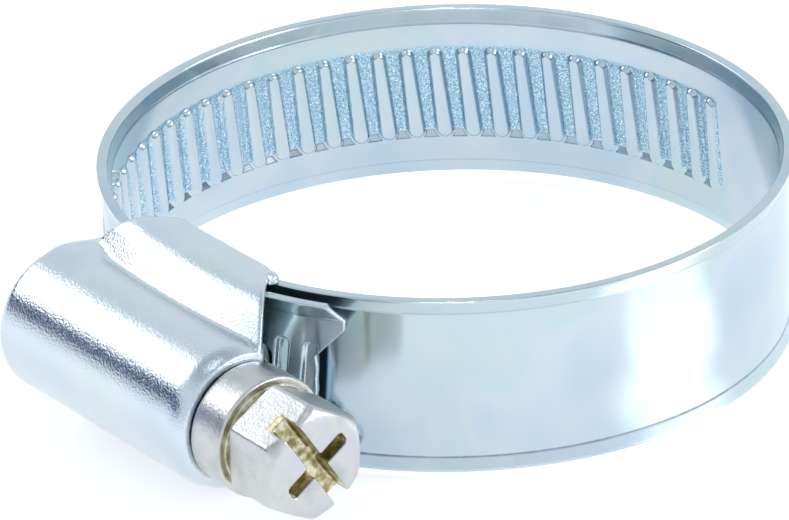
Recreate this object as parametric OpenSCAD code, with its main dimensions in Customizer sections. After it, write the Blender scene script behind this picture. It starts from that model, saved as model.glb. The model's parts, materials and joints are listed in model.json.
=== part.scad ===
// Worm-drive hose clamp: one steel strip, one pressed housing, one screw.
// Frame: +Z is the hose axis, origin on that axis half-way up the strip.
// The housing sits on the -Y side and its screw runs along +X,
// head end at +X. The strip leaves the housing at the head end, goes round
// anticlockwise and comes back in at the other end, over its own start.

/* [Band] */
// inside radius of the smooth part of the loop
ring_r = 21.1; // [19:0.1:23]
// width of the strip
band_w = 12; // [11.6:0.1:12]
// thickness of the strip
band_t = 0.7; // [0.6:0.05:0.7]
// width of the turned-out lip along each edge
lip_w = 1; // [0.6:0.1:1.4]
// how far the lip stands out at the edge
lip_h = 0.22; // [0.1:0.02:0.24]

/* [Thread of the strip] */
// distance from one thread mark to the next, along the strip
mark_pitch = 1.9; // [1.8:0.05:1.9]
// length of a thread mark across the strip
mark_len = 6.4; // [5:0.1:7]
// width of the groove on the outside
groove_w = 1; // [0.7:0.05:1.1]
// depth of the groove on the outside
groove_d = 0.4; // [0.2:0.05:0.45]
// width of the ridge on the inside
ridge_w = 0.9; // [0.6:0.05:1]
// height of the ridge on the inside
ridge_h = 0.18; // [0.1:0.02:0.18]
// lean of the marks, the lead angle of the screw
mark_lean = 6; // [3:0.5:7]

/* [Housing] */
// thickness of the housing sheet
sheet_t = 0.8; // [0.7:0.05:0.9]
// outside radius of the barrel round the worm
barrel_r = 4.9; // [4.8:0.05:5.1]
// closed end of the barrel
barrel_x0 = -7.2; // [-7.6:0.1:-6.8]
// mouth of the barrel, where the screw comes out
barrel_x1 = 12.4; // [12.1:0.1:12.6]
// left end of the saddle over the strip
saddle_x0 = -4.5; // [-5:0.1:-4]
// right end of the saddle over the strip
saddle_x1 = 9; // [8.5:0.1:9.5]

/* [Screw] */
// distance of the screw axis from the hose axis
screw_y = 26.5; // [26.5:0.05:26.7]
// pitch of the worm
worm_pitch = 1.95; // [1.8:0.05:2.1]
// mean radius of the worm
worm_r = 2.7; // [2.4:0.05:2.7]
// half the depth of the worm thread
worm_e = 0.38; // [0.2:0.02:0.38]
// radius of the round collar
collar_r = 4.05; // [3.9:0.05:4.2]
// length of the round collar
collar_len = 2.9; // [2.5:0.1:3.2]
// size of the hexagon across its flats
hex_af = 7; // [6.5:0.1:7]
// length of the hexagon
hex_len = 4.6; // [4:0.1:5]
// width of the long slot in the head
slot_w = 1.3; // [1:0.1:1.5]
// depth of the long slot in the head
slot_d = 1.7; // [1.2:0.1:2]
// width of the cross arms in the head
cross_w = 1; // [0.8:0.1:1.2]
// span of the cross arms
cross_len = 5; // [4.4:0.1:5.4]

// turn of the long slot about the screw, from +Y towards +Z
slot_turn = 123; // [90:1:150]

/* [Hidden] */
$fn = 64;
links = 25;
smooth_links = 10;
round_links = 14;
mark_n = 3;
link_len = mark_pitch * mark_n;
tip_len = 3.5;
// angle of the first link's start, counted from -Y towards +X
start_deg = 20.5;
// angle of the fixed end's inner tip, same count
fixed_deg = -6;
deg_mm = 180 / PI;
round_deg = round_links * link_len / ring_r * deg_mm;
seam_deg = start_deg + round_deg;
// the last links run on a wider circle, so that they pass over the fixed end
offset_in = 1.45;
wide_r = ring_r + offset_in / (1 - cos(360 - seam_deg));
wide_x = -(wide_r - ring_r) * cos(seam_deg - 90);
wide_y = -(wide_r - ring_r) * sin(seam_deg - 90);
joint_gap = 0.02;
half_w = band_w / 2;
wall_h = half_w + 0.05;
pass_r = ring_r + offset_in + band_t + 0.5;
bore_r = barrel_r - sheet_t;
neck_r = 3.4;
hex_x = barrel_x1 + 0.1 + collar_len + 0.35;
hex_r = hex_af / sqrt(3);

// Cross-section of the strip: flat, with both edges turned outwards.
module strip_section(r) {
  polygon([
    [r, lip_w - half_w],
    [r + lip_h, -half_w],
    [r + lip_h + band_t, -half_w],
    [r + band_t, lip_w - half_w],
    [r + band_t, half_w - lip_w],
    [r + lip_h + band_t, half_w],
    [r + lip_h, half_w],
    [r, half_w - lip_w]
  ]);
}

// A length of the strip bent to radius r, from angle a0 over da degrees.
module strip_arc(r, a0, da) {
  rotate([0, 0, a0])
    rotate_extrude(angle = da, $fn = 180)
      strip_section(r);
}

// A pill-shaped bar across the strip, standing from radius ra to rb.
module mark_bar(ra, rb, w) {
  translate([ra, 0, 0])
    rotate([-mark_lean, 0, 0]) {
      translate([0, -w / 2, -(mark_len - w) / 2])
        cube([rb - ra, w, mark_len - w]);
      for (side = [-1, 1])
        translate([0, 0, side * (mark_len - w) / 2])
          rotate([0, 90, 0])
            cylinder(h = rb - ra, r = w / 2, $fn = 24);
    }
}

// The strip between two fold lines, with n thread marks pressed in.
module link_body(r, a0, len, n) {
  gap = joint_gap / r * deg_mm;
  step = mark_pitch / r * deg_mm;
  difference() {
    union() {
      strip_arc(r, a0 + gap, len / r * deg_mm - 2 * gap);
      for (k = [0:1:n - 1])
        rotate([0, 0, a0 + (k + 0.5) * step])
          mark_bar(r - ridge_h, r + 0.12, ridge_w);
    }
    for (k = [0:1:n - 1])
      rotate([0, 0, a0 + (k + 0.5) * step])
        mark_bar(r + band_t - groove_d, r + band_t + 1, groove_w);
  }
}

// Link i, counted from 1 at the housing's head end round to the free end.
module band_link(i) {
  n = i > smooth_links ? mark_n : 0;
  if (i <= round_links)
    link_body(ring_r, start_deg - 90 + (i - 1) * link_len / ring_r * deg_mm,
              link_len, n);
  else
    translate([wide_x, wide_y, 0])
      link_body(wide_r, seam_deg - 90
                + (i - 1 - round_links) * link_len / wide_r * deg_mm,
                link_len, n);
}

// What is cut away past the fishtail end of the strip, in the flat.
module tip_waste() {
  polygon([
    [-1.8, half_w + 0.5],
    [0, half_w - 1.05],
    [0, half_w - 1.6],
    [-2.1, half_w - 3.9],
    [-1.9, 0],
    [-2.1, 3.9 - half_w],
    [0, 1.6 - half_w],
    [0, 1.05 - half_w],
    [-1.8, -half_w - 0.5],
    [6, -half_w - 0.5],
    [6, half_w + 0.5]
  ]);
}

// Free end of the strip: one whole mark and one that the end cuts through.
module band_tip() {
  tip_a = seam_deg - 90 + (links - 1 - round_links) * link_len / wide_r * deg_mm;
  translate([wide_x, wide_y, 0])
    difference() {
      link_body(wide_r, tip_a, link_len, 2);
      rotate([0, 0, tip_a + tip_len / wide_r * deg_mm])
        translate([wide_r - 4, 0, 0])
          rotate([90, 0, 90])
            linear_extrude(height = 8)
              tip_waste();
    }
}

// Start of the strip, held in the saddle.
module band_fixed_end() {
  color("silver")
    strip_arc(ring_r, fixed_deg - 90,
              start_deg - fixed_deg - joint_gap / ring_r * deg_mm);
}

module ring_block(r0, r1, h) {
  difference() {
    cylinder(h = 2 * h, r = r1, center = true, $fn = 180);
    cylinder(h = 2 * h + 2, r = r0, center = true, $fn = 180);
  }
}

module along_x(x0, x1, r) {
  translate([x0, -screw_y, 0])
    rotate([0, 90, 0])
      cylinder(h = x1 - x0, r = r);
}

// Barrel with its two rims turned in, before anything is cut from it.
module barrel() {
  translate([barrel_x0, -screw_y, 0])
    rotate([0, 90, 0])
      rotate_extrude()
        polygon([
          [0, 0],
          [barrel_r - 0.9, 0],
          [barrel_r - 0.35, 0.25],
          [barrel_r, 0.8],
          [barrel_r, barrel_x1 - barrel_x0 - 0.8],
          [barrel_r - 0.3, barrel_x1 - barrel_x0 - 0.25],
          [barrel_r - 0.7, barrel_x1 - barrel_x0],
          [0, barrel_x1 - barrel_x0]
        ]);
}

// Saddle blank: a curved block that wraps both edges of the strip.
module saddle() {
  intersection() {
    ring_block(ring_r - 0.18, pass_r + sheet_t, half_w + sheet_t);
    translate([saddle_x0, -30, -10])
      cube([saddle_x1 - saddle_x0, 15, 20]);
  }
}

module housing() {
  color("lightsteelblue")
    difference() {
      union() {
        barrel();
        saddle();
      }
      along_x(barrel_x0 + sheet_t, barrel_x1 - sheet_t, bore_r);
      along_x(barrel_x0 - 1, barrel_x1 + 1, neck_r + 0.15);
      ring_block(ring_r - 0.05, pass_r, wall_h);
      // the saddle's inner wall is only as long as the fixed end
      for (x0 = [saddle_x0 - 1, 7.3])
        translate([x0, -22, -wall_h])
          cube([3.2, 4, 2 * wall_h]);
    }
}

module hexagon_head() {
  intersection() {
    translate([hex_x, -screw_y, 0])
      rotate([0, 90, 0])
        cylinder(h = hex_len, r = hex_r, $fn = 6);
    // both faces of the hexagon are chamfered round
    translate([hex_x, -screw_y, 0])
      rotate([0, 90, 0])
        rotate_extrude()
          polygon([
            [0, 0],
            [hex_r - 0.35, 0],
            [hex_r, 0.35],
            [hex_r, hex_len - 0.9],
            [hex_r - 0.75, hex_len],
            [0, hex_len]
          ]);
  }
}

module screw() {
  head_x = hex_x + hex_len;
  color("gainsboro")
    difference() {
      union() {
        translate([barrel_x0 + 1.4, -screw_y, 0])
          rotate([0, 90, 0])
            linear_extrude(height = 15.6, twist = -360 * 15.6 / worm_pitch,
                           slices = 96, $fn = 14)
              translate([worm_e, 0])
                circle(r = worm_r);
        along_x(barrel_x0 + 0.2, barrel_x0 + 1.5, 2);
        along_x(barrel_x0 + 0.2, hex_x + 1, 1.9);
        along_x(barrel_x1 - 2.6, barrel_x1 - sheet_t - 0.15, 3.8);
        along_x(barrel_x1 - 2, barrel_x1 + 1, neck_r);
        along_x(barrel_x1 + 0.1, barrel_x1 + 0.1 + collar_len, collar_r);
        along_x(barrel_x1 + 1, hex_x + 0.1, collar_r - 0.55);
        hexagon_head();
      }
      translate([head_x - slot_d, -screw_y, 0])
        rotate([slot_turn, 0, 0]) {
          translate([0, -6, -slot_w / 2])
            cube([slot_d + 1, 12, slot_w]);
          translate([0.3, -cross_w / 2, -cross_len / 2])
            cube([slot_d + 1, cross_w, cross_len]);
        }
    }
}

housing();
screw();
band_fixed_end();
color("silver") band_link(1);  // band_link_01
color("silver") band_link(2);  // band_link_02
color("silver") band_link(3);  // band_link_03
color("silver") band_link(4);  // band_link_04
color("silver") band_link(5);  // band_link_05
color("silver") band_link(6);  // band_link_06
color("silver") band_link(7);  // band_link_07
color("silver") band_link(8);  // band_link_08
color("silver") band_link(9);  // band_link_09
color("silver") band_link(10);  // band_link_10
color("silver") band_link(11);  // band_link_11
color("silver") band_link(12);  // band_link_12
color("silver") band_link(13);  // band_link_13
color("silver") band_link(14);  // band_link_14
color("silver") band_link(15);  // band_link_15
color("silver") band_link(16);  // band_link_16
color("silver") band_link(17);  // band_link_17
color("silver") band_link(18);  // band_link_18
color("silver") band_link(19);  // band_link_19
color("silver") band_link(20);  // band_link_20
color("silver") band_link(21);  // band_link_21
color("silver") band_link(22);  // band_link_22
color("silver") band_link(23);  // band_link_23
color("silver") band_link(24);  // band_link_24
color("silver") band_tip();  // band_link_25
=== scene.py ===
"""Looks of the worm-drive hose clamp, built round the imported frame.

Sizes are in millimetres while a shape is worked out, and in metres once it is a mesh.
+Z is the hose axis. The housing is on the -Y side and the screw runs along +X.
"""

import json
import math

import bpy
import numpy as np
from mathutils import Matrix, Vector


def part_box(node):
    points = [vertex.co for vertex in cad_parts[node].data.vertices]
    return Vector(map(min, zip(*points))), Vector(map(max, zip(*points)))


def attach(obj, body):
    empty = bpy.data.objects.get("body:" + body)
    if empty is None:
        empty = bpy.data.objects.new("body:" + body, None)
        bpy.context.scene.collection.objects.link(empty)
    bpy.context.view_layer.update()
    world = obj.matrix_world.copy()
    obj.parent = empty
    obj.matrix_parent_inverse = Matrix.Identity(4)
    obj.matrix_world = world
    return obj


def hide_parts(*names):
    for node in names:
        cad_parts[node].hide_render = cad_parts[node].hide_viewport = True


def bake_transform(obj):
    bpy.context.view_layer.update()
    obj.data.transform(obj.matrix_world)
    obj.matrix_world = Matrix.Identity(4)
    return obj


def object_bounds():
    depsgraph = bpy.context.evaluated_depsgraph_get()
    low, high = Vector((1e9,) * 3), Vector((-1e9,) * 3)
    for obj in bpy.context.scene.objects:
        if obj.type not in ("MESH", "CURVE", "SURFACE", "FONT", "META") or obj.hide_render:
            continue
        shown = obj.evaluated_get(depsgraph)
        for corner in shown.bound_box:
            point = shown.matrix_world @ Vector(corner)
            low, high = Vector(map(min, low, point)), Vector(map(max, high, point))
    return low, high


MM = 0.001
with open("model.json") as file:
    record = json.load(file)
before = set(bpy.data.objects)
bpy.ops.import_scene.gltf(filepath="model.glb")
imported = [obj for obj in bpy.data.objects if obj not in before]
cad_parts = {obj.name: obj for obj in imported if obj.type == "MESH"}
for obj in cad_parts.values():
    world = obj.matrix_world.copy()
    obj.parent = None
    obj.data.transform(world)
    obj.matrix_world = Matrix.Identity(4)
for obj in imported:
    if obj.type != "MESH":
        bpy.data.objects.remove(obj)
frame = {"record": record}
cad_low, cad_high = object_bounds()

# ---------------------------------------------------------------- measures from the frame

JOINTS = {j["name"]: j for j in frame["record"]["behaviour"]["joints"]}
FOLDS = sorted(name for name in JOINTS if name.startswith("fold_"))
HINGES = [np.array(JOINTS[name]["pos_m"][:2]) / MM for name in FOLDS]
SCREW_Y = -JOINTS["screw_spin"]["pos_m"][1] / MM


def box_mm(node):
    low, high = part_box(node)
    return np.array(low) / MM, np.array(high) / MM


def circle_through(a, b, c):
    """Centre and radius of the circle through three points of the plane."""
    rows = np.array([b - a, c - a]) * 2
    centre = np.linalg.solve(rows, [b @ b - a @ a, c @ c - a @ a])
    return centre, np.linalg.norm(a - centre)


def turn_of(point, centre):
    """Angle of a point round a centre, from -Y towards +X."""
    dx, dy = point - centre
    return math.atan2(dx, -dy) % (2 * math.pi)


# the strip's inside follows the ring, and past RING_FOLDS folds a wider circle
RING_FOLDS = 14
RING_C, RING_R = circle_through(HINGES[0], HINGES[6], HINGES[13])
WIDE_C, WIDE_R = circle_through(HINGES[15], HINGES[19], HINGES[24])
RING_TURN = turn_of(HINGES[0], RING_C)
LINK_LEN = RING_R * (turn_of(HINGES[1], RING_C) - RING_TURN)
WIDE_S = RING_FOLDS * LINK_LEN
WIDE_TURN = turn_of(HINGES[RING_FOLDS], WIDE_C)

# strip: distances along it, from the first fold
FIXED_S = -9.76
TIP_S = 24 * LINK_LEN + 3.5
PITCH = LINK_LEN / 3
FIRST_MARK_S = 10 * LINK_LEN + PITCH / 2
MARKED_STEP = PITCH / 20
PLAIN_STEP = 0.25

# strip: sheet and turned-out edges
HALF_W = box_mm("band_link_03")[1][2]
BAND_T = 0.7
LIP_W = 0.95
LIP_Z = HALF_W - LIP_W
LIP_H = 0.30
LIP_BEND = 0.07
CREASE_H = 0.04
CREASE_EDGE = (-0.1, 0.12)
EDGE_ROUND = 0.015
# rows over an edge: so far out from the inside, or so far in from the outside
EDGE_INSETS = (0.03, 0.1, -0.1, -0.03)
EDGE_ROWS = len(EDGE_INSETS)

# strip: thread marks, each edge between two distances from the mark's middle line
MARK_LEAN = math.tan(math.radians(6))
MARK_REACH = 2.75
MARK_END = 3
MARK_WIDENS = 0.02
RIDGE_H = 0.24
RIDGE_EDGE = (0.30, 0.56)
VALLEY_D = 0.22
VALLEY_EDGE = (0.42, 0.60)
VALLEY_REACH = 3.35
VALLEY_RAMP = 0.55
GROOVE_D = 0.36
GROOVE_EDGE = (0.3, 0.52)

# strip: pitted floors, and painted shade in the creases
PITTED_EDGE = (0.40, 0.55)
PITTED_TOP, PITTED_TOP_FADE = 3.5, 0.3
PITTED_BOTTOM, PITTED_BOTTOM_FADE = 2.85, 0.1
# painted shade in the creases: how far it reaches from them, and how dark it is low on the
# outside and elsewhere
CREASE_SHADE_EDGE = (0.02, 0.09)
CREASE_SHADE_LOW_OUTSIDE = 0.55
CREASE_SHADE_ELSEWHERE = 0.2

# strip: rows to a millimetre across it
ROWS_NEAR_CREASE, NEAR_CREASE = 25.0, 0.25
ROWS_NEAR_MARK_END, NEAR_MARK_END = 13.0, 0.55
ROWS_ELSEWHERE = 7.5
LAST_ROW_GAP = 0.06

# housing: sheet and barrel
SHEET_T = 0.8
BARREL_R = 4.9
BARREL_X0, BARREL_X1 = box_mm("housing")[0][0], box_mm("housing")[1][0]
CLOSED_END_ROUND = 0.85
MOUTH_ROUND, MOUTH_ROUND_ENDS = 2.2, 0.8
MOUTH_T = 0.7
MOUTH_R = 3.6

# housing: saddle, whose shoulder slopes down from its top and follows a flat arc
SADDLE_H = box_mm("housing")[1][2]
SADDLE_X0 = -4.75
SADDLE_IN_R = 20.92
SADDLE_LAP = 0.4
SADDLE_SHORT = 0.05
SHOULDER_X = 4
SHOULDER_FLATNESS = 100
SHOULDER_ROUND = 1.0
SHOULDER_Y, SHOULDER_Z = 25.25, 4.82
SLOPE = math.radians(47)
FLAP_Y0, FLAP_Y1 = -21.9, -20.25
FLAP_Z = 6.4
FLAP_OVER_Z = 6
LUMP_AT, LUMP_R = (7.9, -20.6, 6.2), 0.55

# housing: ends of the saddle
SLANT_X, SLANT_Y = 7.3, -20.2
SLANT_ALONG = (0.67, 0.743)
CHAMFER_AT, CHAMFER_ALONG = 18.0, 0.707
LEFT_END_LEAN = 0.8
LEFT_END_DEPTH = 1.6
BARREL_CUT_Y, BARREL_CUT_BACK = -24.7, 0.1

# housing: web between the barrel's closed end and the saddle
WEB_H, WEB_DROP = 4.8, 1.4
WEB_FALL = (-5.5, -1.0)
WEB_X, WEB_Y = 3, -24.2
WEB_HALF = (2.95, 2.8)

# housing: room for the strip and inside the shoulder
WAY_R, WAY_HALF = 22.5, 1.25
WAY_SIDE_GAP = 0.05
WAY_WALL = 0.28
HOLLOW_Y = 21.3
# a wall thinner than two steps of the net gets holes
HOUSING_STEP = 0.14

# screw: hexagon, collar and neck
HEX_X1 = box_mm("screw")[1][0]
HEX_LEN = 4.6
HEX_X0 = HEX_X1 - HEX_LEN
HEX_AF = 7.0
HEX_BACK_R, HEX_BACK_ALONG = 3.75, (0.6, 0.8)
HEX_FRONT_R, HEX_FRONT_ALONG = 3.3, (0.62, 0.78)
COLLAR_R = 4.05
COLLAR_X0 = BARREL_X1 + 0.1
COLLAR_X1 = COLLAR_X0 + 2.9
NECK_R = 3.45
HEAD_X0 = BARREL_X1 - 2.0
HEAD_STEP = 0.08

# screw: drive slots
SLOT_TURN = math.radians(123)
SLOT_D = 1.4
SLOT_HALF_W = 0.6
ARM_HALF_W, ARM_REACH = 0.48, 2.5

# screw: worm
WORM_PITCH = 1.95
WORM_ROOT_R = 2.35
WORM_CREST = 0.7
WORM_FLANK = (0.35, 0.75)
THREAD_SCALE = 0.7
WORM_MIDDLE, WORM_HALF_L = BARREL_X0 + 9.2, 7.8
CORE_R = 1.9
CORE_X0, CORE_X1 = BARREL_X0 + 0.2, BARREL_X1 - 1
THRUST_R = 3.8
THRUST_X0, THRUST_X1 = BARREL_X1 - 2.6, BARREL_X1 - 0.95
WORM_STEP = 0.12


# ---------------------------------------------------------------- mesh helpers

def add(name, data):
    """A new object in the scene."""
    obj = bpy.data.objects.new(name, data)
    bpy.context.scene.collection.objects.link(obj)
    return obj


def new_mesh(name, points, faces):
    """A smooth-shaded object from points in millimetres and a list of faces."""
    mesh = bpy.data.meshes.new(name)
    mesh.from_pydata((np.asarray(points) * MM).tolist(), [], faces)
    mesh.polygons.foreach_set("use_smooth", [True] * len(mesh.polygons))
    mesh.update()
    return add(name, mesh)


def paint(obj, name, values):
    """A number for every vertex, which the materials read by name."""
    layer = obj.data.attributes.new(name, "FLOAT", "POINT")
    layer.data.foreach_set("value", np.asarray(values, np.float32))


def smooth_min(a, b, r):
    """Joins two distance fields with a fillet about r wide."""
    h = np.maximum(r - np.abs(a - b), 0) / r
    return np.minimum(a, b) - h * h * r / 4


def smooth_max(a, b, r):
    """Keeps what two distance fields share, with a rounding about r wide."""
    return -smooth_min(-a, -b, r)


def ramp(x, x0, x1):
    """0 before x0, 1 past x1, and eased between them."""
    t = np.clip((x - x0) / (x1 - x0), 0, 1)
    return t * t * (3 - 2 * t)


def rounded_box(a, b, half_a, half_b, r):
    """Distance to a rectangle with round corners, centred on 0."""
    qa = np.abs(a) - half_a + r
    qb = np.abs(b) - half_b + r
    outside = np.hypot(np.maximum(qa, 0), np.maximum(qb, 0))
    return outside + np.minimum(np.maximum(qa, qb), 0) - r


def rod(around, x, r, x0, x1, rim):
    """Distance to a round rod along X with round rims."""
    return rounded_box(around, x - (x0 + x1) / 2, r, (x1 - x0) / 2, rim)


def net_cells(values):
    """Crossing points on every grid edge, with the cell at each edge's start."""
    found = []
    for axis in range(3):
        a = np.moveaxis(values, axis, 0)[:-1]
        b = np.moveaxis(values, axis, 0)[1:]
        hits = np.argwhere((a < 0) != (b < 0))
        start, end = a[tuple(hits.T)], b[tuple(hits.T)]
        index = np.zeros_like(hits)
        rest = [k for k in range(3) if k != axis]
        index[:, axis] = hits[:, 0]
        index[:, rest[0]] = hits[:, 1]
        index[:, rest[1]] = hits[:, 2]
        found.append((axis, rest, index, start / (start - end), start < 0))
    return found


def surface_net(name, field, low, high, step):
    """The surface where field is 0, as an even net of quads pulled on to it."""
    low, high = np.array(low) - 2 * step, np.array(high) + 2 * step
    axes = [np.arange(a, b + step, step) for a, b in zip(low, high)]
    grid = np.stack(np.meshgrid(*axes, indexing="ij"), -1)
    values = field(grid)
    cells = np.array(values.shape) - 1
    total = np.zeros((cells.prod(), 3))
    count = np.zeros(cells.prod())
    quads = []
    for axis, rest, index, t, starts_inside in net_cells(values):
        point = index.astype(float)
        point[:, axis] += t
        # the four cells round the edge
        ids = []
        for da, db in ((-1, -1), (0, -1), (0, 0), (-1, 0)):
            cell = index.copy()
            cell[:, rest[0]] += da
            cell[:, rest[1]] += db
            flat = np.ravel_multi_index(cell.T, cells)
            np.add.at(total, flat, point)
            np.add.at(count, flat, 1)
            ids.append(flat)
        quad = np.stack(ids, -1)
        keep = starts_inside if axis != 1 else ~starts_inside
        quad[~keep] = quad[~keep][:, ::-1]
        quads.append(quad)
    used = np.flatnonzero(count)
    points = low + total[used] / count[used][:, None] * step
    number = np.zeros(cells.prod(), int)
    number[used] = np.arange(len(used))
    points = pull_on(points, field, step)
    return new_mesh(name, points, number[np.concatenate(quads)].tolist())


def pull_on(points, field, step):
    """Moves points on to the field's zero surface, at most half a step each time."""
    e = step * 0.25
    for _ in range(3):
        value = field(points)
        slope = np.stack([
            (field(points + d) - field(points - d)) / (2 * e) for d in np.eye(3) * e
        ], -1)
        size = np.maximum((slope * slope).sum(-1), 0.1)
        move = -slope * (value / size)[:, None]
        length = np.linalg.norm(move, axis=-1)
        move *= np.minimum(1, 0.5 * step / np.maximum(length, 1e-9))[:, None]
        points = points + move
    return points


# ---------------------------------------------------------------- strip

def strip_at(s, out, z):
    """Points of the strip: s along its inside, out from the inside, z across it."""
    wide = s > WIDE_S
    turn = np.where(wide, WIDE_TURN + (s - WIDE_S) / WIDE_R, RING_TURN + s / RING_R)
    r = np.where(wide, WIDE_R, RING_R) + out
    x = np.where(wide, WIDE_C[0], RING_C[0]) + r * np.sin(turn)
    y = np.where(wide, WIDE_C[1], RING_C[1]) - r * np.cos(turn)
    return np.stack([x, y, z + 0 * s], -1)


def lip(z):
    """How far the edges of the strip are turned out, past a small sharp crease."""
    x = np.abs(z) - LIP_Z
    flare = (np.sqrt(x * x + LIP_BEND * LIP_BEND) + x) / (2 * LIP_W)
    return (LIP_H - CREASE_H) * flare + CREASE_H * ramp(x, *CREASE_EDGE)


def mark_distance(s, z):
    """Distance from the nearest thread mark's middle line, and its place in pitches."""
    at = (s - z * MARK_LEAN - FIRST_MARK_S) / PITCH
    nearest = np.maximum(np.round(at), 0)
    across = (at - nearest) * PITCH
    return np.hypot(across, np.maximum(np.abs(z) - MARK_REACH, 0)), at


def inside_of(s, z):
    """Height of the inside: round-ended ridges with sunk, flat-floored valleys between."""
    d, at = mark_distance(s, z)
    # the ridges widen a little downwards, and the floors end in steep ramps
    wider = MARK_WIDENS * z
    ridge = RIDGE_H * (1 - ramp(d + wider, *RIDGE_EDGE))
    ends = np.clip((VALLEY_REACH - np.abs(z)) / VALLEY_RAMP, 0, 1)
    floor = ramp(d + wider, *VALLEY_EDGE) * ends
    after_first_mark = ramp(at, -0.1, 0.1)
    valley = VALLEY_D * floor * after_first_mark
    return lip(z) - ridge + valley


def outside_of(s, z):
    """Height of the outside: round-ended grooves for the worm."""
    d, _ = mark_distance(s, z)
    return BAND_T + lip(z) - GROOVE_D * (1 - ramp(d, *GROOVE_EDGE))


def tip_cut(z):
    """How much shorter the fishtail end is at each height."""
    heights = [0, HALF_W - 3.9, HALF_W - 1.6, HALF_W - 1.05, HALF_W]
    cuts = [1.9, 2.1, 0, 0, 1.2]
    return np.interp(np.abs(z), heights, cuts)


def strip_rows():
    """Heights across the strip, closer together by the creases and the marks' ends."""
    even = np.linspace(0, HALF_W - LAST_ROW_GAP, 1200)
    near_mark_end = np.abs(even - MARK_END) < NEAR_MARK_END
    rows = np.where(near_mark_end, ROWS_NEAR_MARK_END, ROWS_ELSEWHERE)
    rows = np.where(np.abs(even - LIP_Z) < NEAR_CREASE, ROWS_NEAR_CREASE, rows)
    gaps = (rows[1:] + rows[:-1]) / 2 * np.diff(even)
    total = np.concatenate([[0], np.cumsum(gaps)])
    upper = np.interp(np.linspace(0, total[-1], int(total[-1])), total, even)
    return np.concatenate([-upper[:0:-1], upper])


def section_heights(s, z, rows):
    """How far out each section's points lie: inside, top edge, outside, bottom edge."""
    low, high = inside_of(s, z), outside_of(s, z)
    out = low.copy()
    outside = slice(rows + EDGE_ROWS, 2 * rows + EDGE_ROWS)
    out[:, outside] = high[:, outside]
    for first, insets in ((rows, EDGE_INSETS), (2 * rows + EDGE_ROWS, EDGE_INSETS[::-1])):
        for k, inset in enumerate(insets, first):
            base = low if inset > 0 else high
            out[:, k] = base[:, k] + inset
    return out


def tube_faces(sections, width):
    """Quads between neighbouring cross-sections."""
    faces = []
    for i in range(sections - 1):
        near, far = i * width, (i + 1) * width
        for j in range(width):
            k = (j + 1) % width
            faces.append((near + j, near + k, far + k, far + j))
    return faces


def cap_faces(start, rows, width):
    """Faces that close the cross-section whose first point is start."""
    ring = range(start, start + width)
    last = 2 * rows + EDGE_ROWS - 1
    faces = [
        (ring[j], ring[j + 1], ring[last - 1 - j], ring[last - j]) for j in range(rows - 1)
    ]
    for first in (rows - 1, last):
        faces.append(tuple(ring[(first + k) % width] for k in range(EDGE_ROWS + 2)))
    return faces


def paint_strip(obj, s, z, on_inside):
    """Marks the pitted floors between the ridges, and the creases where shade is painted."""
    d, at = mark_distance(s, z)
    pitted = np.clip((PITTED_TOP - z) / PITTED_TOP_FADE, 0, 1)
    pitted = pitted * np.clip((PITTED_BOTTOM + z) / PITTED_BOTTOM_FADE, 0, 1)
    past_blank = at > -0.4
    grain = ramp(d, *PITTED_EDGE) * pitted * past_blank
    paint(obj, "grain", (grain * on_inside).ravel())
    # painted shade along the creases beside the lips, strongest on the outside's lower half
    crease = 1 - ramp(np.abs(np.abs(z) - LIP_Z), *CREASE_SHADE_EDGE)
    crease_shade = np.where(~on_inside & (z < 0), CREASE_SHADE_LOW_OUTSIDE, CREASE_SHADE_ELSEWHERE)
    paint(obj, "crease", (crease * crease_shade).ravel())


def strip_piece(name, s0, s1, step, first, last):
    """A length of the strip from s0 to s1, closed where it is the first or the last."""
    inner = strip_rows()
    rows = len(inner)
    edge = np.array([HALF_W - EDGE_ROUND, HALF_W, HALF_W, HALF_W - EDGE_ROUND])
    around = np.concatenate([inner, edge, inner[::-1], -edge])
    width = len(around)
    sections = max(2, int(math.ceil((s1 - s0) / step))) + 1
    t = np.linspace(0, 1, sections)[:, None]
    end = s1 - (tip_cut(around) if last else 0 * around)
    s = s0 + t * (end - s0)
    z = np.broadcast_to(around, s.shape)
    points = strip_at(s, section_heights(s, z, rows), z).reshape(-1, 3)
    faces = tube_faces(sections, width)
    if first:
        faces += [face[::-1] for face in cap_faces(0, rows, width)]
    if last:
        faces += cap_faces((sections - 1) * width, rows, width)
    obj = new_mesh(name, points, faces)
    paint_strip(obj, s, z, np.arange(width) < rows)
    return obj


def build_strip(material):
    """The strip's skin, cut into one piece over each fold."""
    reach = PITCH
    for i in range(len(FOLDS)):
        fold_s = i * LINK_LEN
        first, last = i == 0, i == len(FOLDS) - 1
        s0 = FIXED_S if first else fold_s - reach
        s1 = TIP_S if last else fold_s + LINK_LEN - reach
        step = MARKED_STEP if s1 > FIRST_MARK_S - PITCH else PLAIN_STEP
        piece = strip_piece(f"strip_{i + 1:02d}", s0, s1, step, first, last)
        piece.data.materials.append(material)
        nodes = [f"band_link_{i + 1:02d}"] + (["band_fixed_end"] if first else [])
        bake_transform(piece)
        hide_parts(*nodes)


# ---------------------------------------------------------------- housing

def barrel_wall(x, along):
    """The barrel: round at its closed end, turned in and cut off sharply at its mouth."""
    # each rod shapes one end and runs on well past the other
    closed_end = rod(along, x, BARREL_R, BARREL_X0, BARREL_X1 + 3, CLOSED_END_ROUND)
    mouth_x1 = BARREL_X1 + MOUTH_ROUND_ENDS
    turned_in = rod(along, x, BARREL_R, BARREL_X0 - 6, mouth_x1, MOUTH_ROUND)
    return smooth_max(np.maximum(closed_end, turned_in), x - BARREL_X1, 0.12)


def saddle_profile(shoulder, high):
    """The saddle's level top and its broad slope down to the barrel."""
    slope = (shoulder - SHOULDER_Y) * math.sin(SLOPE) + (high - SHOULDER_Z) * math.cos(SLOPE)
    return smooth_max(high - SADDLE_H, slope, SHOULDER_ROUND)


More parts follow.
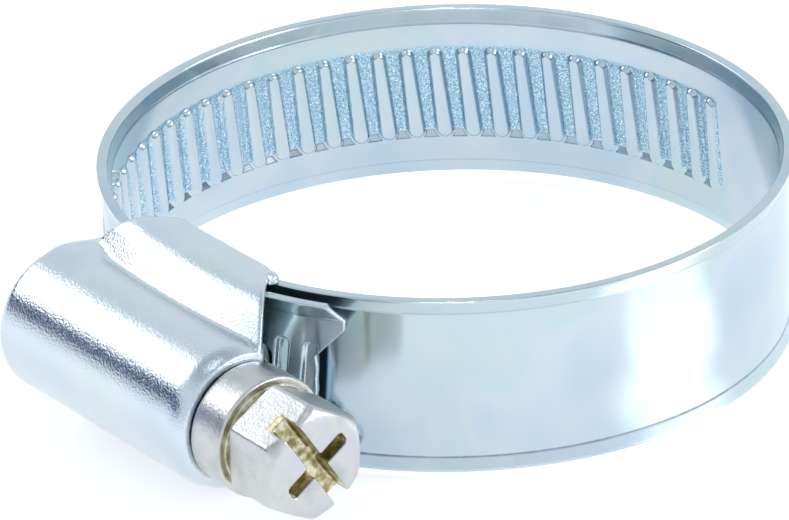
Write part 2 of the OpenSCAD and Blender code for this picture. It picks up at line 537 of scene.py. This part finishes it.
def saddle_wall(p, shoulder, profile, slant):
    """The saddle, with its ends chamfered on the left and slanting back on the right."""
    x, y, z = p[..., 0], p[..., 1], p[..., 2]
    reach = np.maximum(shoulder - SHOULDER_Y - SADDLE_LAP, x - BARREL_X1 + SADDLE_SHORT)
    saddle = smooth_max(np.maximum(profile, reach), SADDLE_IN_R - np.hypot(x, y), 0.3)
    flap_half = (FLAP_Y1 - FLAP_Y0) / 2, SADDLE_H - FLAP_Z
    flap = rounded_box(y - (FLAP_Y0 + FLAP_Y1) / 2, z - FLAP_Z, *flap_half, 0.2)
    saddle = np.minimum(saddle, flap)
    saddle = smooth_max(saddle, slant, 0.25)
    saddle = smooth_max(saddle, (CHAMFER_AT - x + y) * CHAMFER_ALONG, 0.5)
    left = SADDLE_X0 - LEFT_END_LEAN * np.minimum(SADDLE_H - np.abs(z), LEFT_END_DEPTH)
    saddle = smooth_max(saddle, left - x, 0.6)
    return smooth_max(saddle, np.where(z > FLAP_OVER_Z, y - FLAP_Y1, -1.0), 0.15)


def web_wall(x, y, high):
    """The sheet runs on level from the closed end of the barrel to the saddle."""
    web_h = WEB_H - WEB_DROP * ramp(x, *WEB_FALL)
    plate = rounded_box(x - BARREL_X0 - WEB_X, y - WEB_Y, *WEB_HALF, 0.8)
    return smooth_max(plate, high - web_h, 1.4)


def housing_room(x, out, high, along, shoulder, profile, barrel):
    """Room inside: the bore, the mouth, the strip's way through, the hollow shoulder."""
    bore = rod(along, x, BARREL_R - SHEET_T, BARREL_X0 + SHEET_T, BARREL_X1 - MOUTH_T, 0.3)
    mouth = along - MOUTH_R
    way = rounded_box(out - WAY_R, high, WAY_HALF, HALF_W + WAY_SIDE_GAP, 0.1)
    way = np.maximum(way, profile + WAY_WALL)
    hollow = np.maximum(np.maximum(profile + SHEET_T, HOLLOW_Y - shoulder), -barrel)
    return np.minimum(np.minimum(bore, mouth), np.minimum(way, hollow))


def housing_field(p):
    x, y, high = p[..., 0], p[..., 1], np.abs(p[..., 2])
    along = np.hypot(y + SCREW_Y, p[..., 2])
    # the shoulder follows a flatter arc than the strip under it
    shoulder = (x - SHOULDER_X) ** 2 / SHOULDER_FLATNESS - y
    profile = saddle_profile(shoulder, high)
    slant = (x - SLANT_X) * SLANT_ALONG[0] + (y - SLANT_Y) * SLANT_ALONG[1]
    saddle = saddle_wall(p, shoulder, profile, slant)
    barrel = barrel_wall(x, along)
    barrel = smooth_max(barrel, np.minimum(slant - BARREL_CUT_BACK, y - BARREL_CUT_Y), 0.15)
    outer = smooth_min(smooth_min(barrel, web_wall(x, y, high), 0.8), saddle, 0.25)
    # the rolled corner beside the strip
    lump = np.linalg.norm(p - np.array(LUMP_AT), axis=-1) - LUMP_R
    outer = smooth_min(outer, lump, 0.3)
    room = housing_room(x, np.hypot(x, y), high, along, shoulder, profile, barrel)
    return smooth_max(outer, -room, 0.12)


def build_housing(material):
    housing = surface_net("housing_shell", housing_field, *box_mm("housing"), HOUSING_STEP)
    housing.data.materials.append(material)
    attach(housing, "clamp_seat")
    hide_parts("housing")


# ---------------------------------------------------------------- screw

def hexagon(y, z, flat, r):
    """Distance to a hexagon with two corners up and down."""
    turns = (0, math.pi / 3, 2 * math.pi / 3)
    sides = [np.abs(y * math.cos(a) + z * math.sin(a)) for a in turns]
    return smooth_max(smooth_max(sides[0], sides[1], r), sides[2], r) - flat / 2


def slot_axes(y, z):
    """Coordinates along and across the long drive slot."""
    u = y * math.cos(SLOT_TURN) + z * math.sin(SLOT_TURN)
    v = -y * math.sin(SLOT_TURN) + z * math.cos(SLOT_TURN)
    return u, v


def hexagon_body(x, y, z, around):
    """The hexagon, with its corners turned down at the back and the front."""
    body = hexagon(y, z, HEX_AF, 0.22)
    back = (around - HEX_BACK_R) * HEX_BACK_ALONG[0] + (HEX_X0 - x) * HEX_BACK_ALONG[1]
    front = (around - HEX_FRONT_R) * HEX_FRONT_ALONG[0] + (x - HEX_X1) * HEX_FRONT_ALONG[1]
    body = smooth_max(smooth_max(body, back, 0.2), front, 0.3)
    return smooth_max(body, np.maximum(x - HEX_X1, HEX_X0 - x), 0.25)


def head_field(p):
    x, y, z = p[..., 0], p[..., 1] + SCREW_Y, p[..., 2]
    around = np.hypot(y, z)
    collar = rod(around, x, COLLAR_R, COLLAR_X0, COLLAR_X1, 0.18)
    neck = rod(around, x, NECK_R, HEAD_X0, HEX_X0 + 1, 0.1)
    solid = smooth_min(smooth_min(collar, neck, 0.15), hexagon_body(x, y, z, around), 0.1)
    u, v = slot_axes(y, z)
    long_slot = rounded_box(v, x - HEX_X1 - 2, SLOT_HALF_W, 2 + SLOT_D, 0.2)
    arms = np.maximum(rounded_box(u, v, ARM_HALF_W, ARM_REACH, 0.3), HEX_X1 - SLOT_D - x)
    return smooth_max(smooth_max(solid, -long_slot, 0.15), -arms, 0.15)


def in_recess(head):
    """1 in the drive slots and the undercut, where yellow passivation is left."""
    points = np.empty(len(head.data.vertices) * 3)
    head.data.vertices.foreach_get("co", points)
    x, y, z = points.reshape(-1, 3).T / MM
    u, v = slot_axes(y + SCREW_Y, z)
    # each slot's walls lie a little way outside its own measures
    from_long_slot = np.abs(v) - 0.66
    from_arms = np.maximum(np.abs(u) - 0.52, np.abs(v) - 2.6)
    slots = 1 - ramp(np.minimum(from_long_slot, from_arms), 0, 0.12)
    slots *= 1 - ramp(x, HEX_X1 - 0.35, HEX_X1 - 0.05)
    slots *= ramp(x, HEX_X1 - 2.2, HEX_X1 - 1.9)
    undercut = ramp(x, COLLAR_X1 - 0.05, COLLAR_X1 + 0.1)
    undercut = undercut * (1 - ramp(x, HEX_X0 + 0.1, HEX_X0 + 0.3))
    return np.maximum(slots, undercut)


def worm_field(p):
    x, y, z = p[..., 0], p[..., 1] + SCREW_Y, p[..., 2]
    around = np.hypot(y, z)
    turn = np.arctan2(z, y) / (2 * math.pi)
    wave = np.abs(((x / WORM_PITCH - turn) % 1) - 0.5) * 2
    thread = around - WORM_ROOT_R - WORM_CREST * ramp(wave, *WORM_FLANK)
    # a thread's field is steeper than a distance, so it is scaled down
    thread = np.maximum(thread * THREAD_SCALE, np.abs(x - WORM_MIDDLE) - WORM_HALF_L)
    core = rod(around, x, CORE_R, CORE_X0, CORE_X1, 0.1)
    thrust = rod(around, x, THRUST_R, THRUST_X0, THRUST_X1, 0.15)
    return np.minimum(np.minimum(thread, core), thrust)


def build_screw(metal):
    """The head and neck as one piece, and the worm with its thrust shoulder as another."""
    low, high = box_mm("screw")
    head = surface_net("screw_head", head_field, [HEAD_X0, low[1], low[2]], high, HEAD_STEP)
    worm = surface_net("screw_worm", worm_field, low, [BARREL_X1, high[1], high[2]], WORM_STEP)
    paint(head, "recess", in_recess(head))
    for piece in (head, worm):
        piece.data.materials.append(metal)
        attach(piece, "worm_screw")
    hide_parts("screw")


# ---------------------------------------------------------------- node helpers

def link(tree, a, out, b, into):
    tree.links.new(a.outputs[out], b.inputs[into])


def noise(tree, coords, scale, detail):
    node = tree.nodes.new("ShaderNodeTexNoise")
    node.inputs["Scale"].default_value = scale
    node.inputs["Detail"].default_value = detail
    node.inputs["Roughness"].default_value = 0.55
    link(tree, coords, "Object", node, "Vector")
    return node


def painted(tree, name):
    """The number that paint() gave a piece's vertices under this name."""
    node = tree.nodes.new("ShaderNodeAttribute")
    node.attribute_name = name
    return node


def ramp_node(tree, source, out, stops):
    """Colours along a source's value, from (position, colour) pairs."""
    node = tree.nodes.new("ShaderNodeValToRGB")
    first, last = node.color_ramp.elements
    first.position = stops[0][0]
    first.color = (*stops[0][1], 1)
    last.position = stops[-1][0]
    last.color = (*stops[-1][1], 1)
    for at, colour in stops[1:-1]:
        node.color_ramp.elements.new(at).color = (*colour, 1)
    link(tree, source, out, node, "Fac")
    return node


def product(tree, a, out_a, b, out_b):
    node = tree.nodes.new("ShaderNodeMath")
    node.operation = "MULTIPLY"
    link(tree, a, out_a, node, 0)
    link(tree, b, out_b, node, 1)
    return node


def mix_colour(tree, source, out, a, b):
    """The colour a where the source is 0 and b where it is 1."""
    node = tree.nodes.new("ShaderNodeMix")
    node.data_type = "RGBA"
    link(tree, source, out, node, "Factor")
    tree.links.new(a, node.inputs[6])
    tree.links.new(b, node.inputs[7])
    return node.outputs[2]


def bump(tree, source, out, strength, distance, under=None):
    """A bump of this height in metres, on top of the normal under it."""
    node = tree.nodes.new("ShaderNodeBump")
    node.inputs["Strength"].default_value = strength
    node.inputs["Distance"].default_value = distance
    link(tree, source, out, node, "Height")
    if under:
        link(tree, under, "Normal", node, "Normal")
    return node


# ---------------------------------------------------------------- materials

def zinc(name, tints, tint_scale, rough, grain, waves):
    """Zinc plate: a metal with drifting passivation tints, a fine grain and slow waves.

    rough is the lowest and highest roughness. grain and waves are each a noise scale
    and a height in metres.
    """
    material = bpy.data.materials.new(name)
    material.use_nodes = True
    tree = material.node_tree
    shader = tree.nodes["Principled BSDF"]
    shader.inputs["Metallic"].default_value = 1
    coords = tree.nodes.new("ShaderNodeTexCoord")
    drift = noise(tree, coords, tint_scale, 2)
    colour = ramp_node(tree, drift, "Fac", tints)
    link(tree, colour, "Color", shader, "Base Color")
    cloud = noise(tree, coords, tint_scale * 4, 4)
    spread = tree.nodes.new("ShaderNodeMapRange")
    spread.inputs["To Min"].default_value = rough[0]
    spread.inputs["To Max"].default_value = rough[1]
    link(tree, cloud, "Fac", spread, "Value")
    link(tree, spread, "Result", shader, "Roughness")
    slow = bump(tree, noise(tree, coords, waves[0], 2), "Fac", 1, waves[1])
    fine = bump(tree, noise(tree, coords, grain[0], 3), "Fac", 1, grain[1], slow)
    link(tree, fine, "Normal", shader, "Normal")
    return material, tree, shader, coords, fine


def strip_material():
    tints = [
        (0.3, (0.45, 0.57, 0.66)),
        (0.42, (0.50, 0.60, 0.67)),
        (0.5, (0.56, 0.63, 0.67)),
        (0.58, (0.50, 0.62, 0.65)),
        (0.68, (0.56, 0.63, 0.62)),
        (0.78, (0.53, 0.57, 0.65)),
    ]
    material, tree, shader, coords, fine = zinc(
        "strip_zinc", tints, tint_scale=90, rough=(0.14, 0.24),
        grain=(5000, 0.0000008), waves=(500, 0.000003))
    # the sunk floors between the ridges are matt, pitted and bluer
    floors = painted(tree, "grain")
    pits_at = noise(tree, coords, 11000, 2)
    floor_tint = ramp_node(tree, pits_at, "Fac", [
        (0.35, (0.18, 0.35, 0.48)),
        (0.5, (0.33, 0.52, 0.64)),
        (0.66, (0.78, 0.88, 0.93)),
    ])
    tint = shader.inputs["Base Color"].links[0].from_socket
    tint = mix_colour(tree, floors, "Fac", tint, floor_tint.outputs["Color"])
    # painted shade: near-black colour in the sharp creases beside the lips
    crease_shade = ramp_node(tree, noise(tree, coords, 2500, 3), "Fac", [
        (0.35, (0.02, 0.03, 0.09)),
        (0.65, (0.20, 0.24, 0.34)),
    ])
    tint = mix_colour(tree, painted(tree, "crease"), "Fac", tint, crease_shade.outputs["Color"])
    tree.links.new(tint, shader.inputs["Base Color"])
    pit_height = product(tree, pits_at, "Fac", floors, "Fac")
    pits = bump(tree, pit_height, "Value", 1, 0.00003, fine)
    link(tree, pits, "Normal", shader, "Normal")
    # the strip was rolled along its length
    tangent = tree.nodes.new("ShaderNodeTangent")
    tangent.direction_type = "RADIAL"
    tangent.axis = "Z"
    shader.inputs["Anisotropic"].default_value = 0.6
    shader.inputs["Anisotropic Rotation"].default_value = 0.25
    link(tree, tangent, "Tangent", shader, "Tangent")
    return material


def housing_material():
    tints = [(0.3, (0.58, 0.66, 0.72)), (0.6, (0.66, 0.71, 0.74)), (0.75, (0.62, 0.71, 0.70))]
    return zinc("housing_zinc_plate", tints, tint_scale=120, rough=(0.06, 0.12),
                grain=(6500, 0.000027), waves=(1100, 0.000003))[0]


def screw_material():
    tints = [(0.3, (0.48, 0.50, 0.50)), (0.5, (0.60, 0.60, 0.58)), (0.7, (0.56, 0.56, 0.61))]
    material, tree, shader, coords, _ = zinc(
        "screw_satin_zinc", tints, tint_scale=450, rough=(0.22, 0.42),
        grain=(5000, 0.000022), waves=(900, 0.000010))
    gold = ramp_node(tree, noise(tree, coords, 1500, 3), "Fac", [
        (0.35, (0.22, 0.18, 0.09)),
        (0.5, (0.46, 0.40, 0.22)),
        (0.68, (0.80, 0.77, 0.60)),
    ])
    tint = shader.inputs["Base Color"].links[0].from_socket
    tint = mix_colour(tree, painted(tree, "recess"), "Fac", tint, gold.outputs["Color"])
    tree.links.new(tint, shader.inputs["Base Color"])
    return material


# ---------------------------------------------------------------- stage, light, camera

def build_floor(z, half=3):
    """A pale paper floor, in metres, at the clamp's underside, glowing with a painted pool of
    light round the clamp.
    """
    mesh = bpy.data.meshes.new("floor")
    corners = [(-half, -half, z), (half, -half, z), (half, half, z), (-half, half, z)]
    mesh.from_pydata(corners, [], [(0, 1, 2, 3)])
    floor = add("floor", mesh)
    material = bpy.data.materials.new("paper")
    material.use_nodes = True
    tree = material.node_tree
    shader = tree.nodes["Principled BSDF"]
    shader.inputs["Roughness"].default_value = 0.9
    shader.inputs["Base Color"].default_value = (0.70, 0.71, 0.72, 1)
    shader.inputs["Emission Strength"].default_value = 0.52
    coords = tree.nodes.new("ShaderNodeTexCoord")
    # painted pool of light: the paper glows white round the clamp and fades to grey-blue
    # farther out, standing for the light of a light tent
    far = tree.nodes.new("ShaderNodeVectorMath")
    far.operation = "LENGTH"
    link(tree, coords, "Object", far, 0)
    painted_light_pool = ramp_node(tree, far, "Value", [
        (0.07, (1, 1, 1)),
        (0.14, (0.80, 0.84, 0.90)),
        (0.5, (0.66, 0.72, 0.82)),
    ])
    link(tree, painted_light_pool, "Color", shader, "Emission Color")
    fibre = bump(tree, noise(tree, coords, 900, 4), "Fac", 0.1, 0.00005)
    link(tree, fibre, "Normal", shader, "Normal")
    mesh.materials.append(material)


def build_world():
    """A pale sky that darkens overhead, with a low dark card on the barrel's side."""
    world = bpy.data.worlds.new("studio")
    bpy.context.scene.world = world
    world.use_nodes = True
    tree = world.node_tree
    back = tree.nodes["Background"]
    back.inputs["Strength"].default_value = 1.0
    coords = tree.nodes.new("ShaderNodeTexCoord")
    split = tree.nodes.new("ShaderNodeSeparateXYZ")
    link(tree, coords, "Generated", split, "Vector")
    sky = ramp_node(tree, split, "Z", [
        (0.0, (0.84, 0.89, 0.96)),
        (0.12, (0.86, 0.91, 0.98)),
        (0.38, (0.86, 0.93, 1.0)),
        (0.66, (0.86, 0.93, 1.0)),
        (1.0, (0.40, 0.46, 0.54)),
    ])
    card_height = ramp_node(tree, split, "Z", [
        (0.10, (0, 0, 0)),
        (0.14, (1, 1, 1)),
        (0.35, (1, 1, 1)),
        (0.39, (0, 0, 0)),
    ])
    card_turn = math.radians(-47)
    toward = tree.nodes.new("ShaderNodeVectorMath")
    toward.operation = "DOT_PRODUCT"
    link(tree, coords, "Generated", toward, 0)
    toward.inputs[1].default_value = (math.sin(card_turn), -math.cos(card_turn), 0)
    card_width = ramp_node(tree, toward, "Value", [(0.66, (0, 0, 0)), (0.76, (1, 1, 1))])
    card = product(tree, card_height, "Color", card_width, "Color")
    dark = tree.nodes.new("ShaderNodeRGB")
    dark.outputs[0].default_value = (0.025, 0.05, 0.17, 1)
    shade = mix_colour(tree, card, "Value", sky.outputs["Color"], dark.outputs[0])
    tree.links.new(shade, back.inputs["Color"])


def softbox(name, turn, height, distance, size, brightness):
    """A soft light at a turn from -Y towards +X and a height, aimed at the clamp."""
    light = bpy.data.lights.new(name, "AREA")
    light.shape = "RECTANGLE"
    light.size, light.size_y = size
    light.energy = brightness * math.pi * size[0] * size[1]
    obj = add(name, light)
    a, e = math.radians(turn), math.radians(height)
    way = Vector((math.sin(a) * math.cos(e), -math.cos(a) * math.cos(e), math.sin(e)))
    obj.location = way * distance
    obj.rotation_mode = "QUATERNION"
    obj.rotation_quaternion = way.to_track_quat("Z", "Y")


def floor_spot(name, x, y, radius, energy, height=400):
    """A small round pool of light on the floor, straight under its lamp."""
    lamp = bpy.data.lights.new(name, "SPOT")
    lamp.energy = energy
    lamp.spot_size = 2 * math.atan(radius / height)
    lamp.spot_blend = 0.15
    lamp.shadow_soft_size = 0.002
    add(name, lamp).location = (x * MM, y * MM, height * MM)


def build_light():
    """Three soft boxes, and the pools on the floor that the ring mirrors as white lobes."""
    softbox("left_box", turn=-64, height=33.5, distance=0.5, size=(0.25, 0.20), brightness=2.6)
    softbox("right_box", turn=130, height=26, distance=0.5, size=(0.30, 0.16), brightness=6.0)
    softbox("top_box", turn=53, height=82, distance=0.6, size=(0.2, 0.2), brightness=1.2)
    floor_spot("spot_near", x=26.4, y=4.3, radius=5.5, energy=8)
    floor_spot("spot_far", x=35.0, y=12, radius=8.5, energy=8)
    floor_spot("spot_inside", x=0, y=0, radius=24, energy=1.1)


def build_camera():
    """A long lens at the photograph's viewing angle."""
    azimuth, elevation, roll = map(math.radians, (53, 26.52, -1.42))
    distance = 0.6223
    across, lift = -3.889 * MM, -1.954 * MM
    side = Vector((math.cos(azimuth), math.sin(azimuth), 0))
    back = Vector((
        math.sin(azimuth) * math.cos(elevation),
        -math.cos(azimuth) * math.cos(elevation),
        math.sin(elevation),
    ))
    up = back.cross(side)
    right = side * math.cos(roll) + up * math.sin(roll)
    top = up * math.cos(roll) - side * math.sin(roll)
    target = side * across + Vector((0, 0, lift))
    data = bpy.data.cameras.new("camera")
    data.sensor_width = 36
    data.lens = 437.4
    data.clip_start, data.clip_end = 0.05, 20
    camera = add("camera", data)
    place = Matrix((right, top, back)).transposed().to_4x4()
    place.translation = target + back * distance
    camera.matrix_world = place
    bpy.context.scene.camera = camera


# ---------------------------------------------------------------- scene

build_camera()
build_world()
build_light()
build_strip(strip_material())
build_housing(housing_material())
build_screw(screw_material())
build_floor(cad_low[2])
bpy.context.scene.view_settings.view_transform = "Standard"
